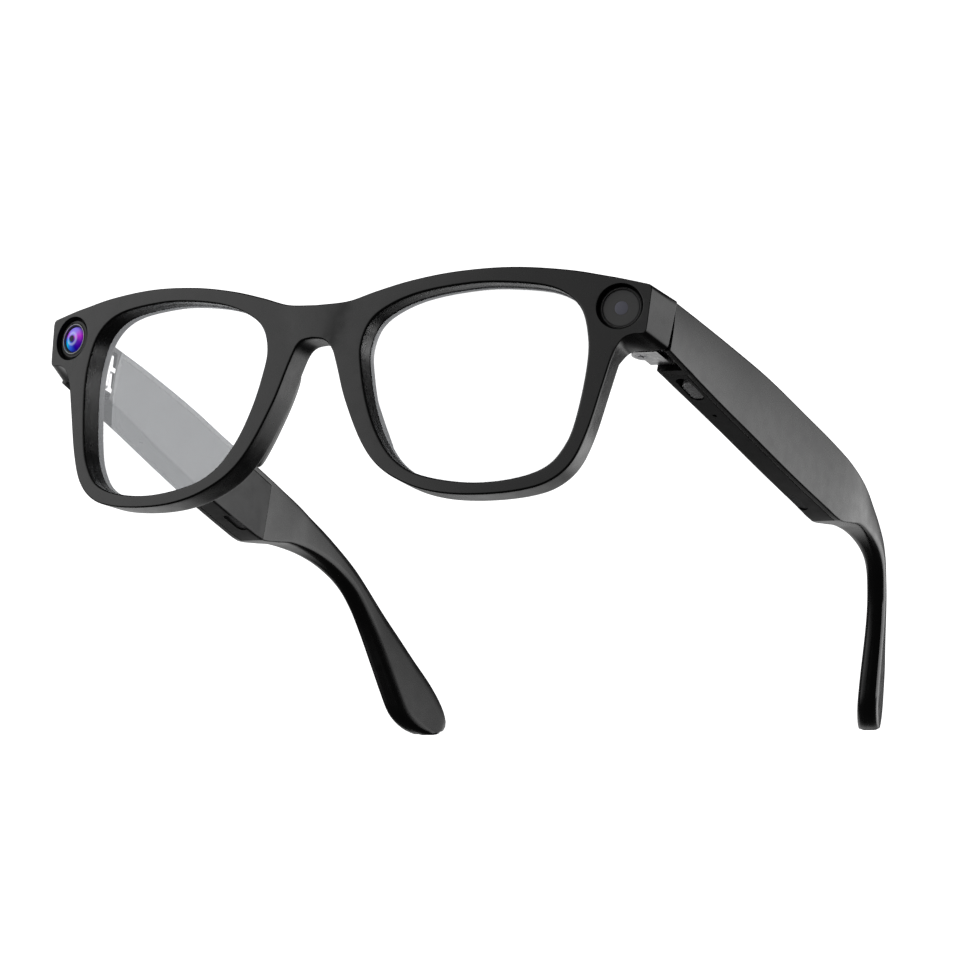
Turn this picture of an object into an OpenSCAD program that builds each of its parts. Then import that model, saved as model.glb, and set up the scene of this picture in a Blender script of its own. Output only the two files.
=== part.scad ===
// Smart glasses: a thick black frame with a camera, an indicator, folding electronic temples
// and plain clear lenses. The wearer looks along -Y, the temples run back along +Y, +Z is up
// and +X is the wearer's left. The glasses stand on a table on the rims and the temple tips.

/* [Front] */
// Radius of the front's curve, seen from above
front_r = 281; // [240:1:330]
// Depth of the front shell, in front of the lens groove's middle
shell_t = 3.4; // [3.2:0.1:3.8]
// Depth of the whole rim
rim_t = 6.2; // [6:0.1:6.6]
// Thickness of each lens
lens_t = 2; // [1.8:0.1:2.2]
// How deep the lens sits in its groove
groove = 0.8; // [0.6:0.1:0.9]
// Forward lean of the front when the glasses stand on a table
lean = 7.9; // [7.8:0.05:8]

/* [Camera and indicator] */
// Distance of the two round recesses from the middle
eye_x = 67.35; // [67:0.05:67.6]
// Height of the recesses above the bridge's top
eye_z = -2.1; // [-2.3:0.05:-1.9]
// Radius of each recess
eye_r = 4.75; // [4.5:0.05:4.8]

/* [Temples] */
// Angle of the plane in which the temple tips bend inwards
bend_plane = 18; // [17:0.5:19]
// Wall thickness of the temple shell
wall = 1.4; // [1.2:0.1:1.5]
// Wall thickness of the temple's inner cover
cover_t = 1.3; // [1.1:0.1:1.4]
// Gap between the endpiece and the temple
seam_gap = 0.2; // [0.15:0.05:0.3]

/* [Hinges] */
// Distance of each hinge pin from the middle
pin_x = 67.2; // [67:0.1:67.4]
// Radius of the hinge screw's shank
pin_r = 0.7; // [0.6:0.05:0.8]
// Radius of the hinge knuckles
knuckle_r = 2.2; // [2:0.1:2.3]
// Radial running clearance of the hinge screw in the front leaf
pin_play = 0.04; // [0.02:0.01:0.08]

/* [Controls] */
// Travel of the slide switch
slide_travel = 2.6; // [2:0.1:2.8]
// Travel of the capture button
button_travel = 0.4; // [0.3:0.05:0.5]

/* [Hidden] */
$fn = 48;

black = [0.06, 0.06, 0.065];
dark = [0.1, 0.1, 0.105];
steel = [0.75, 0.75, 0.76];
board = [0.05, 0.2, 0.12];

// Where the standing frame's origin lies in the front's own frame: the middle of the
// whole glasses along Y, and the table below the rims.
stand_y = -81.3;
stand_z = 40.685;

// ---- Curves -------------------------------------------------------------------------

// One point of a smooth curve between b and c, with neighbours a and d.
function between(a, b, c, d, t) =
    0.5 * (2 * b + (c - a) * t + (2 * a - 5 * b + 4 * c - d) * t * t
        + (3 * b - a - 3 * c + d) * t * t * t);
// A smooth closed curve through the points, with n steps to a span.
function closed_curve(p, n) = let (m = len(p))
    [for (i = [0 : m - 1], k = [0 : n - 1])
        between(p[(i + m - 1) % m], p[i], p[(i + 1) % m], p[(i + 2) % m], k / n)];
// A smooth open curve through the points, with n steps to a span.
function open_curve(p, n) = let (m = len(p))
    concat([for (i = [0 : m - 2], k = [0 : n - 1])
        between(p[max(i - 1, 0)], p[i], p[i + 1], p[min(i + 2, m - 1)], k / n)], [p[m - 1]]);
function mirrored(p) = [for (i = [len(p) - 1 : -1 : 0]) [-p[i][0], p[i][1]]];
function reversed(p) = [for (i = [len(p) - 1 : -1 : 0]) p[i]];
function moved(p, dx, dy) = [for (q = p) [q[0] + dx, q[1] + dy]];
// A place on the curved front, laid out on an upright plane a little in front of it.
lead = 1;
function unrolled(p) = [for (q = p) [(front_r + lead) * tan(asin(q[0] / front_r)), q[1]]];

// Edge of one lens opening, from the middle of its top towards the nose.
opening = closed_curve([
    [41.7, 3], [33, 2.6], [24, 1.1], [17.5, -1.3], [13.3, -4.5], [11.6, -9.5], [12.3, -15],
    [14.2, -21.8], [17.3, -28.5], [21.7, -33.9], [28, -37.2], [38.5, -38.8], [48, -38],
    [54.8, -35.5], [58.4, -31.1], [60.2, -25.5], [61.5, -15.5], [61.3, -8.5], [59, -2], [53, 1.8]
], 3);
// Top edge of the front, from the bridge to the corner.
brow = open_curve([
    [0, -0.5], [7, 0], [14, 2], [22, 4], [32, 5.6], [44, 6.3], [56, 5.6], [65, 4.2], [72.6, 2.7]
], 3);
// Lower edge of the front, from the corner round the rim to the middle of the bridge.
lower = open_curve([
    [72.6, -7.7], [70.6, -7.8], [68.4, -9], [66.9, -12], [65.3, -18.5], [63, -28], [60.3, -34.5],
    [56, -38.5], [50, -40.5], [41.5, -41.4], [33, -41.1], [25.5, -39.3], [18.5, -35.6],
    [13.5, -30], [8.7, -20.8], [6, -13.5], [4.4, -9.7], [2.6, -8.1], [0, -7.7]
], 3);
half = concat(brow, lower);
outline = concat(half, [for (p = mirrored(half)) if (p[0] < -0.01) p]);

// ---- Frames -------------------------------------------------------------------------

// From the front's own frame to the frame of the standing glasses.
module stand() translate([0, stand_y, stand_z]) rotate([lean, 0, 0]) children();
// Left is +X; the right side is its mirror image.
module side(right) mirror([right ? 1 : 0, 0, 0]) children();
// A place on the curved front; the child's +Y points into the frame.
module on_face(x, z)
    translate([0, front_r, 0]) rotate([0, 0, asin(x / front_r)]) translate([0, -front_r, z])
        children();
// A disc whose axis goes into the frame, from depth d0 to depth d1.
module disc(r, d0, d1) translate([0, d0, 0]) rotate([-90, 0, 0]) cylinder(r = r, h = d1 - d0);

// The curved layer of the front between depths d0 and d1, with walls square to the curve.
module layer(d0, d1) {
    run = 20;
    intersection() {
        translate([0, front_r, 0]) difference() {
            cylinder(r = front_r - d0, h = 200, center = true, $fn = 360);
            cylinder(r = front_r - d1, h = 201, center = true, $fn = 360);
        }
        translate([0, -lead, 0]) rotate([90, 0, 0]) mirror([0, 0, 1])
            linear_extrude(run, scale = [1 - run / (front_r + lead), 1], slices = 1) children();
    }
}
module opening_2d(grow) offset(delta = grow) polygon(unrolled(opening));
module both_openings_2d(grow) {
    opening_2d(grow);
    mirror([1, 0]) opening_2d(grow);
}
// A shape drawn in (y, z) and carried along X.
module along_x(x0, x1) translate([x0, 0, 0]) rotate([90, 0, 90]) linear_extrude(x1 - x0) children();
// A shape drawn in (x, y) and carried along Z.
module along_z(z0, z1) translate([0, 0, z0]) linear_extrude(z1 - z0) children();

// ---- Front --------------------------------------------------------------------------

seam_low = [16.5, -9.5];
// The endpiece in side view, inset by a wall and open at the back.
module end_side_cut_2d(inset)
    polygon([[5, 2.9 - inset], [22, 0.8 - inset], [22, -9.9 + inset], [5, -7.1 + inset]]);
module end_plan_2d(x0) polygon([[x0, 5], [72.9, 5], [72.9, 9.43], [75, 17.6], [75, 20], [66, 20],
    [66, 16.8], [x0, 13.8]]);
module end_block(x0 = 63.2) intersection() {
    along_x(60, 80) polygon([[5, 2.9], [18.4, 1.42], seam_low, [5, -7.1]]);
    along_z(-20, 10) end_plan_2d(x0);
    translate([0, front_r, 0]) cylinder(r = front_r, h = 60, center = true, $fn = 360);
}
// The hollow of the endpiece, open at the back and towards the nose.
module end_hollow() intersection() {
    along_x(60, 80) end_side_cut_2d(1.2);
    along_z(-20, 10) polygon([[62, 11.6], [71.8, 12], [73.5, 18], [73.5, 22], [62, 22]]);
}
// The room for the modules inside the endpiece.
module end_room() intersection() {
    along_x(60, 80) end_side_cut_2d(1.2);
    along_z(-20, 10) polygon([[64.6, 9.4], [71.2, 10.9], [72.1, 12], [73.2, 15], [67.4, 15],
        [64.6, 13.6]]);
}
module tang() translate([65.3, 13.9, -8]) cube([3.8, 5.3, 2.8]);
module leaf_foot() translate([64.9, 13.9, -8]) cube([5.6, 0.9, 2.8]);
module foot_screw(d0) translate([69.9, 0, -6.6]) disc(0.45, d0, 16.2);
// What the front leaf and its screw take out of the endpiece.
module leaf_seat() {
    tang();
    leaf_foot();
    foot_screw(13.4);
}
// The strip that the front's flexible cable follows, just under the brow.
flex_run = [for (p = brow) if (p[0] < 64.6) p];
flex_mid = concat(mirrored(flex_run), [for (i = [1 : len(flex_run) - 1]) flex_run[i]]);
module flex_band() layer(shell_t, shell_t + 0.3)
    polygon(unrolled(concat(moved(flex_mid, 0, -0.95), reversed(moved(flex_mid, 0, -2.05)))));

module front_shell() color(black) stand() difference() {
    union() {
        layer(0, shell_t) polygon(unrolled(outline));
        for (s = [false, true]) side(s) difference() {
            end_block();
            end_hollow();
        }
    }
    layer(-1, rim_t + 1) both_openings_2d(0);
    layer(shell_t - lens_t / 2, shell_t + 1) both_openings_2d(groove);
    for (s = [false, true]) side(s) {
        on_face(eye_x, eye_z) disc(eye_r, -1, 3.2);
        on_face(eye_x, eye_z) disc(3.5, 3, 6.4);
        end_room();
        leaf_seat();
    }
    flex_band();
}

module rear_frame() color(black) stand() difference() {
    union() {
        difference() {
            layer(shell_t, rim_t) polygon(unrolled(outline));
            for (s = [false, true]) side(s) end_block();
        }
        for (s = [false, true]) side(s) intersection() {
            end_block(62.6);
            end_hollow();
        }
    }
    layer(-1, rim_t + 1) both_openings_2d(0);
    layer(shell_t - 1, shell_t + lens_t / 2) both_openings_2d(groove);
    for (s = [false, true]) side(s) {
        on_face(eye_x, eye_z) disc(3.5, 3, 6.4);
        end_room();
        leaf_seat();
    }
    flex_band();
}

module lens(right) color([0.9, 0.95, 1, 0.3]) stand() side(right)
    layer(shell_t - lens_t / 2, shell_t + lens_t / 2) opening_2d(groove - 0.02);

// A pad that follows the nose side of the rim and stands out behind it.
module nose_pad(right) color(black) stand() side(right) layer(rim_t, rim_t + 3)
    polygon(unrolled(closed_curve([
        [5.9, -12.9], [8.4, -19.8], [12.2, -27.3], [16.2, -32.8], [17.6, -31.5], [14.4, -24.4],
        [11.9, -17.5], [9.2, -12.6], [7.2, -11.6]
    ], 3)));

module front_flex() color([0.75, 0.45, 0.15]) stand() flex_band();

// ---- Camera, on the wearer's right --------------------------------------------------

module at_camera() stand() on_face(-eye_x, eye_z) children();
module camera_bezel() color(dark) at_camera() difference() {
    disc(eye_r - 0.02, 0.9, 3.2);
    disc(3.3, 0, 4);
}
module camera_window() color([0.1, 0.1, 0.14, 0.5]) at_camera() difference() {
    disc(3.28, 1.1, 1.7);
    disc(2.65, 1.35, 2);
}
module camera_lens() color([0.3, 0.1, 0.8]) at_camera() intersection() {
    disc(2.6, 1.36, 2.6);
    translate([0, 6, 0]) sphere(r = 4.6, $fn = 64);
}
module camera_barrel() color(dark) at_camera() difference() {
    disc(3.2, 1.72, 5.6);
    disc(2.62, 1.6, 2.6);
}
module camera_board() color(board) at_camera() disc(3, 5.6, 6.3);

// ---- Indicator, on the wearer's left ------------------------------------------------

module at_indicator() stand() on_face(eye_x, eye_z) children();
module indicator_bezel() color(dark) at_indicator() difference() {
    disc(eye_r - 0.02, 1.5, 3.2);
    disc(3.9, 0, 2.4);
    disc(1.5, 0, 4);
}
module indicator_window() color([0.25, 0.25, 0.3]) at_indicator() union() {
    disc(3.88, 1.6, 2.4);
    disc(1.48, 2.4, 3.2);
}
module indicator_board() color(board) at_indicator() disc(3.3, 3.3, 4.1);

// ---- Temple outlines ----------------------------------------------------------------

// Upper edge of a temple in side view, from the hinge to the end of the tip.
temple_top = open_curve([
    [18.9, 1.4], [32, -0.2], [45, -2], [60, -4.6], [76, -8.2], [90, -11.4], [104, -15.2],
    [114, -18.6], [121, -21.5], [128, -25.4], [134, -30.8], [140, -37.3], [146, -43.8],
    [151.5, -49.5], [155, -54.5], [156, -58.3], [154.4, -61]
], 3);
// Lower edge, from the end of the tip back to the hinge, with the step under the body.
temple_low = concat(open_curve([
    [151, -62], [146.5, -61.2], [142.6, -58.6], [140, -54], [137, -47.6], [134, -41.4],
    [130.6, -35.7], [126.6, -31.3], [120.5, -28.1], [113, -26.3], [105, -25.9], [99.5, -26.7],
    [96.3, -27.5], [93.4, -27.6]
], 3), open_curve([[88, -26.6], [70, -22.8], [50, -17.9], [34, -13.9], [16.7, -9.55]], 2));
// The same temple seen from above: outer and inner faces, with the distance from the front
// measured square to the bend plane.
outer_x = open_curve([
    [75, 14], [75.4, 40], [76.1, 58], [76.8, 82], [77, 97], [76.2, 107], [74.4, 116],
    [72.1, 127], [69.7, 135.4], [67.9, 141.5], [65.4, 149], [63.1, 156], [60.6, 163], [57.6, 172]
], 3);
inner_x = open_curve([
    [67.2, 14], [68, 32], [68.8, 46], [69.5, 62], [70, 80], [69.9, 97], [69.3, 107], [68.9, 114],
    [67.4, 126], [65.1, 135.5], [63.3, 141.4], [60.4, 149], [57.9, 156], [55.3, 163], [52, 172]
], 3);

// Everything between two faces of the temple, each moved in by an inset.
module plan_slab(in_outer, in_inner)
    rotate([-bend_plane, 0, 0]) along_z(-60, 80)
        polygon(concat(moved(outer_x, -in_outer, 0), reversed(moved(inner_x, in_inner, 0))));
module temple_body() intersection() {
    along_x(40, 90) polygon(concat(temple_top, temple_low));
    plan_slab(0, 0);
}
// Side view of the cover's bay under the temple's upper wall.
cover_y0 = 26.8;
cover_y1 = 93.2;
roof = [for (p = temple_top) if (p[0] > cover_y0 - 6 && p[0] < cover_y1 + 6) [p[0], p[1] - wall]];
floor_line = [[cover_y1 + 8, -29], [88, -26.6], [70, -22.8], [50, -17.9], [34, -13.9], [20, -10.4]];
module bay_side_2d(y0, y1, up) intersection() {
    polygon(concat(roof, moved(floor_line, 0, up)));
    translate([y0, -60]) square([y1 - y0, 80]);
}
// The bay that the inner cover and all the electronics fill.
module bay() intersection() {
    along_x(40, 90) bay_side_2d(cover_y0, cover_y1, -4);
    plan_slab(wall, -5);
}
module hollow() intersection() {
    along_x(40, 90) bay_side_2d(cover_y0 + 1, cover_y1 - 1, cover_t);
    plan_slab(wall, cover_t);
}
// The open corner at the temple's front end that the hinge fills.
hinge_y1 = 24.8;
module hinge_bay() intersection() {
    along_x(40, 90) polygon(concat([[10, 0.3], [18.9, 0], [hinge_y1, -0.7]],
        [[hinge_y1, -20], [10, -20]]));
    plan_slab(wall, -5);
}
// Upper side of the core wire, which runs down the middle of the tip.
wire_top = [[99.6, -19.6], [108.6, -20.6], [116.6, -22.4], [121.6, -24.4], [127.1, -27.9],
    [132.9, -32.6], [137.9, -38.6], [143.1, -45.6], [148.1, -53.1]];
module core_wire_shape() intersection() {
    along_x(40, 90) polygon(concat(open_curve(wire_top, 2),
        reversed(moved(open_curve(wire_top, 2), -1.2, -1.8))));
    plan_slab(2.2, 1.9);
}

// ---- Temples ------------------------------------------------------------------------

function on_slope(y) = -13.3 - 0.235 * (y - 34);
// A place inside the temple at distance y, level with the temple's axis; +Y runs along it.
module in_temple(y, up) translate([0, y, on_slope(y) + up]) rotate([-13.3, 0, 0]) children();

slide_y = 32.8;
slot_l = 9.4;
slot_w = 3.2;
knob_l = slot_l - slide_travel - 0.3;
module slot_2d(l, w) union() {
    translate([-w / 2, -(l - w) / 2]) square([w, l - w]);
    for (s = [-1, 1]) translate([0, s * (l - w) / 2]) circle(d = w);
}
module on_underside() in_temple(slide_y, 0) translate([71.5, 0, 0]) children();
button_y = 46;
module on_roof() translate([72.1, button_y, -2.15]) rotate([-8, 0, 0]) children();
module button_hole(grow) on_roof() along_z(-wall - 1.2, 2) slot_2d(10 + 2 * grow, 3 + 2 * grow);
module wall_mesh(grow) in_temple(84, 2.1) translate([71.3, 0, 0])
    along_z(-2.5, 3) slot_2d(8 + grow, 2.4 + grow);
module pad_block(grow) in_temple(62, 8.4)
    translate([68.9 - grow, -6 - grow, -2.6 - grow]) cube([1.3 + grow, 12 + 2 * grow, 5.2 + 2 * grow]);
module mic_hole() in_temple(44, 0) translate([71.6, 0, -2]) cylinder(r = 0.5, h = 6);

module temple_shell(right) color(black) stand() side(right) difference() {
    temple_body();
    bay();
    hinge_bay();
    core_wire_shape();
    leaf_screw_holes();
    if (right) button_hole(0.06);
}
module temple_cover(right) color(dark) stand() side(right) difference() {
    intersection() {
        temple_body();
        bay();
    }
    hollow();
    wall_mesh(0);
    mic_hole();
    if (!right) {
        on_underside() along_z(-3, 4) slot_2d(slot_l, slot_w);
        pad_block(0);
    }
}
module core_wire(right) color(steel) stand() side(right) core_wire_shape();

screw_z = [-4, -8.2];
module leaf_screw_holes() for (z = screw_z) translate([70.4, 0, z]) disc(0.6, 23, 26.6);
module leaf_screw_heads() for (z = screw_z) translate([70.4, 0, z]) disc(1.1, 23.3, 23.8);
module leaf_screws(right) color(steel) stand() side(right) {
    intersection() {
        leaf_screw_holes();
        translate([60, 23.8, -20]) cube([20, 10, 30]);
    }
    leaf_screw_heads();
}

// ---- Hinges, upright in the standing frame ------------------------------------------

pin_y = 20.4;
pin_z0 = -7.03;
leaf_gap = 0.06;
lug_t = 1.05;
barrel_h = 3.5;
pin_len = 2 * lug_t + 2 * leaf_gap + barrel_h;
module at_pin() translate([pin_x, pin_y + stand_y, pin_z0 + stand_z]) children();

module temple_leaf(right) color(steel) side(right) difference() {
    union() {
        at_pin() for (z = [0, pin_len - lug_t]) translate([0, 0, z]) {
            cylinder(r = knuckle_r, h = lug_t);
            translate([-0.4, 0, 0]) cube([4.8, 4.7, lug_t]);
        }
        at_pin() translate([0.3, -2.05, 0]) cube([4.1, 2.05, lug_t]);
        stand() translate([67.7, 23.8, -10.2]) cube([4.6, 1, 8.4]);
    }
    at_pin() translate([0, 0, -1]) cylinder(r = pin_r, h = 10);
    at_pin() translate([0, 0, -0.01]) cylinder(r = 1.35, h = 0.46);
    stand() leaf_screw_holes();
    stand() leaf_screw_heads();
}
module front_leaf(right) color(steel) side(right) difference() {
    union() {
        stand() tang();
        stand() leaf_foot();
        at_pin() translate([0, 0, lug_t + leaf_gap]) cylinder(r = knuckle_r, h = barrel_h);
    }
    at_pin() translate([0, 0, -1]) cylinder(r = pin_r + pin_play, h = 10);
    stand() foot_screw(13.4);
}
module front_leaf_screws() color(steel) for (s = [false, true]) side(s) stand() foot_screw(13.4);
module hinge_screw(right) color(steel) side(right) at_pin() difference() {
    union() {
        cylinder(r = 1.33, h = 0.45);
        cylinder(r = pin_r, h = pin_len);
    }
    for (a = [0, 90]) rotate([0, 0, a]) translate([-0.9, -0.14, -0.01]) cube([1.8, 0.28, 0.26]);
}

// ---- Electronics in the temples -----------------------------------------------------

module battery(right) color([0.7, 0.7, 0.72]) stand() side(right) in_temple(58, 2.6)
    translate([72.7, 0, 0]) union() {
        translate([-1.45, -12, 0]) cube([2.9, 23, 8]);
        translate([-0.8, -13.4, 2]) cube([1.6, 1.4, 4]);
    }
module main_board() color(board) stand() in_temple(40, 3.5) translate([72.4, 0, 0]) union() {
    translate([0, -8.5, 0]) cube([0.7, 13, 5.8]);
    translate([-1.2, -5, 2.4]) cube([1.2, 6, 3]);
}
module touch_board() color(board) stand() side(true) in_temple(40, 1.9)
    translate([72.6, 0, 0]) union() {
        translate([0, -8.5, 0]) cube([0.7, 13, 5]);
        translate([-1.1, -6, 1]) cube([1.1, 5, 3]);
    }
module speaker(right) color(dark) stand() side(right) in_temple(83.5, 2.9)
    translate([73.3, 0, 0]) translate([-1.8, -6, 0]) cube([3.6, 12, 7]);
module speaker_mesh(right) color([0.2, 0.2, 0.2]) stand() side(right) intersection() {
    wall_mesh(-0.04);
    plan_slab(wall, 0);
    along_x(60, 80) polygon([[70, -21.9], [70, -22.6], [96, -28.1], [96, -27.4]]);
}
module microphone(right) color([0.8, 0.7, 0.4]) stand() side(right) in_temple(44, 1.32)
    translate([70.7, -1.2, 0]) cube([1.5, 2.4, 0.9]);

// The knob stands at the back of its slot and slides forwards.
module slide_switch() color(steel) stand() on_underside()
    translate([0, (slot_l - knob_l) / 2 - 0.15, 0]) union() {
        difference() {
            along_z(-0.1, 1.4) slot_2d(knob_l, slot_w - 0.3);
            for (i = [-2 : 2]) translate([-2, i * 1.05 - 0.2, -1]) cube([4, 0.4, 1.35]);
        }
        translate([-0.6, -1, 1.4]) cube([1.2, 2, 0.5]);
    }
module switch_body() color(steel) stand() on_underside()
    translate([-1.7, -4.6, 2]) cube([3.2, 9.2, 1.3]);

// The button's cap sits in the temple's roof with its lip inside.
module capture_button() color(dark) stand() side(true) on_roof()
    along_z(-wall - 0.5, 0.45) slot_2d(10 - 0.1, 3 - 0.1);
module button_switch() color(steel) stand() side(true) on_roof()
    translate([-1.2, -1.6, -wall - 1.9]) cube([2.4, 3.2, 0.9]);

module charge_pad() color(dark) stand() difference() {
    pad_block(0);
    for (s = [-1, 1]) pad_contact(s);
}
module pad_contact(s) in_temple(62, 8.4) translate([68, s * 3, 0]) rotate([0, 90, 0])
    cylinder(r = 1.2, h = 1.5);
module charge_contacts() color([0.85, 0.65, 0.3]) stand() intersection() {
    for (s = [-1, 1]) pad_contact(s);
    pad_block(0);
}

front_shell();
rear_frame();
lens(false);  // lens_left
lens(true);  // lens_right
nose_pad(false);  // nose_pad_left
nose_pad(true);  // nose_pad_right
camera_bezel();
camera_window();
camera_lens();
camera_barrel();
camera_board();
indicator_bezel();
indicator_window();
indicator_board();
front_flex();
front_leaf(false);  // front_leaf_left
front_leaf(true);  // front_leaf_right
front_leaf_screws();
temple_shell(false);  // temple_shell_left
temple_shell(true);  // temple_shell_right
temple_cover(false);  // temple_cover_left
temple_cover(true);  // temple_cover_right
temple_leaf(false);  // temple_leaf_left
temple_leaf(true);  // temple_leaf_right
leaf_screws(false);  // leaf_screws_left
leaf_screws(true);  // leaf_screws_right
hinge_screw(false);  // hinge_screw_left
hinge_screw(true);  // hinge_screw_right
core_wire(false);  // core_wire_left
core_wire(true);  // core_wire_right
battery(false);  // battery_left
battery(true);  // battery_right
main_board();
touch_board();
speaker(false);  // speaker_left
speaker(true);  // speaker_right
speaker_mesh(false);  // speaker_mesh_left
speaker_mesh(true);  // speaker_mesh_right
microphone(false);  // microphone_left
microphone(true);  // microphone_right
slide_switch();
switch_body();
capture_button();
button_switch();
charge_pad();
charge_contacts();
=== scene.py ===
"""Smart glasses: a satin black frame with clear lenses, a camera, an indicator and folding temples.

Lengths are millimetres in the front's own frame: the bridge's top middle is the origin, +X is the
wearer's left, +Y runs into the frame and +Z is up. place() carries them to the standing glasses,
in metres.
"""
from math import asin, atan2, cos, pi, radians, sin

import bmesh
import bpy
from mathutils import Matrix, Vector
from mathutils.geometry import delaunay_2d_cdt
from mathutils.kdtree import KDTree


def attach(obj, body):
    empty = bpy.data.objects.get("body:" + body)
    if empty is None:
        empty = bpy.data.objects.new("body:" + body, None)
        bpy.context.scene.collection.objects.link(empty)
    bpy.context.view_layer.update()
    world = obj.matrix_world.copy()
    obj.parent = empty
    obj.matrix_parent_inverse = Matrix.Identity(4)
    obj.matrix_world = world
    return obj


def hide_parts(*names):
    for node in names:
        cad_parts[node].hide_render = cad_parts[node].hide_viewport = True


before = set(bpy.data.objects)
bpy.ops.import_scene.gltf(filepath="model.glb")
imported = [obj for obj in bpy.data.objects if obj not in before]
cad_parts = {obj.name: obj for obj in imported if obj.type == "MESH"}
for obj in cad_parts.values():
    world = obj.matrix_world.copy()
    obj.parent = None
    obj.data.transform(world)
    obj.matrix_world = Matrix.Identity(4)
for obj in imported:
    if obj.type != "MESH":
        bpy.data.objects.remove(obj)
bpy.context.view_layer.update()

MM = 0.001

# ---- Driving sizes ------------------------------------------------------------------------------
#
# The CAD model's sizes, apart from small changes at the front's corners and the temples' step.
# An outline is (x, z) on the front's face, (y, z) for a temple from the side, and for its faces
# from above (x, distance from the front square to the plane in which the tips bend).

FRONT_R = 281.0
RIM_T = 6.2
LENS_FRONT, LENS_BACK = 2.4, 4.4
EYE_X, EYE_Z, EYE_R = 67.35, -2.1, 4.75
BEND_PLANE = radians(18)
WALL = 1.4
HINGE_WALL = 1.3
EDGE = 0.45
STANDING = Matrix.Translation((0, -81.3, 40.685)) @ Matrix.Rotation(radians(7.9), 4, "X")

OPENING = [(41.7, 3), (33, 2.6), (24, 1.1), (17.5, -1.3), (13.3, -4.5), (11.6, -9.5), (12.3, -15),
           (14.2, -21.8), (17.3, -28.5), (21.7, -33.9), (28, -37.2), (38.5, -38.8), (48, -38),
           (54.8, -35.5), (58.4, -31.1), (60.2, -25.5), (61.5, -15.5), (61.3, -8.5), (59, -2),
           (53, 1.8)]
BROW = [(0, -0.5), (7, 0), (14, 2), (22, 4), (32, 5.6), (44, 6.3), (56, 5.6), (65, 4.2), (72.5, 2.75)]
LOWER = [(72, -7.76), (70.2, -7.95), (68.4, -9), (66.9, -12), (65.3, -18.5), (63, -28),
         (60.3, -34.5), (56, -38.5), (50, -40.5), (41.5, -41.4), (33, -41.1), (25.5, -39.3),
         (18.5, -35.6), (13.5, -30), (8.7, -20.8), (6, -13.5), (4.4, -9.7), (2.6, -8.1), (0, -7.7)]
TEMPLE_TOP = [(18.9, 1.4), (32, -0.2), (45, -2), (60, -4.6), (76, -8.2), (90, -11.4), (104, -15.2),
              (114, -18.6), (121, -21.5), (128, -25.4), (134, -30.8), (140, -37.3), (146, -43.8),
              (151.5, -49.5), (155, -54.5), (156, -58.3), (154.4, -61)]
TEMPLE_LOW = [(16.7, -9.55), (34, -13.9), (50, -17.9), (70, -22.8), (88, -26.6), (93.4, -27.5),
              (99.5, -26.7), (105, -25.9), (113, -26.3), (120.5, -28.1), (126.6, -31.3),
              (130.6, -35.7), (134, -41.4), (137, -47.6), (140, -54), (142.6, -58.6),
              (146.5, -61.2), (151, -62)]
OUTER_X = [(75, 14), (75.4, 40), (76.1, 58), (76.8, 82), (77, 97), (76.2, 107), (74.4, 116),
           (72.1, 127), (69.7, 135.4), (67.9, 141.5), (65.4, 149), (63.1, 156), (60.6, 163),
           (57.6, 172)]
INNER_X = [(67.2, 14), (68, 32), (68.8, 46), (69.5, 62), (70, 80), (69.9, 97), (69.3, 107),
           (68.9, 114), (67.4, 126), (65.1, 135.5), (63.3, 141.4), (60.4, 149), (57.9, 156),
           (55.3, 163), (52, 172)]


# ---- Curves -------------------------------------------------------------------------------------

def between(a, b, c, d, t):
    """A point of the smooth curve between b and c, with neighbours a and d."""
    return tuple(
        0.5 * (2 * q + (r - p) * t + (2 * p - 5 * q + 4 * r - s) * t * t + (3 * q - p - 3 * r + s) * t ** 3)
        for p, q, r, s in zip(a, b, c, d))


def smooth(points, steps=6, closed=False):
    """A smooth curve through the points, with the given steps to a span."""
    n = len(points)
    if closed:
        return [between(*(points[(i + k) % n] for k in (-1, 0, 1, 2)), j / steps)
                for i in range(n) for j in range(steps)]
    curve = [between(points[max(i - 1, 0)], points[i], points[i + 1], points[min(i + 2, n - 1)], j / steps)
             for i in range(n - 1) for j in range(steps)]
    return curve + [tuple(points[-1])]


def resample(line, count):
    """The same open line with evenly spaced points."""
    line = [Vector(p) for p in line]
    reach = [0.0]
    for a, b in zip(line, line[1:]):
        reach.append(reach[-1] + (b - a).length)
    out = []
    k = 0
    for i in range(count):
        goal = reach[-1] * i / (count - 1)
        while k < len(line) - 2 and reach[k + 1] < goal:
            k += 1
        part = (goal - reach[k]) / max(reach[k + 1] - reach[k], 1e-9)
        out.append(line[k].lerp(line[k + 1], min(part, 1)))
    return out


def value_at(curve, key, where=0, what=1):
    """Linear look-up in a curve whose `where` values rise."""
    for a, b in zip(curve, curve[1:]):
        if key <= b[where]:
            part = (key - a[where]) / (b[where] - a[where])
            return a[what] + (b[what] - a[what]) * part
    return curve[-1][what]


def clean(loop, least=0.004):
    """The loop without points that nearly repeat."""
    out = [loop[0]]
    for p in loop[1:]:
        if (Vector(p) - Vector(out[-1])).length > least:
            out.append(p)
    return out


def inward_normals(loop):
    """Unit normals of a closed 2-D loop, towards its inside."""
    turn = sum(a[0] * b[1] - b[0] * a[1] for a, b in zip(loop, loop[1:] + loop[:1]))
    inward = 1 if turn > 0 else -1
    out = []
    for i, p in enumerate(loop):
        a, b = Vector(loop[i - 1]), Vector(loop[(i + 1) % len(loop)])
        p = Vector(p)
        run = (p - a).normalized() + (b - p).normalized()
        out.append(inward * Vector((-run.y, run.x)).normalized())
    return out


def moved(loop, normals, amount):
    """A 2-D loop moved along its normals."""
    return [(p[0] + n.x * amount, p[1] + n.y * amount) for p, n in zip(loop, normals)]


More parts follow.
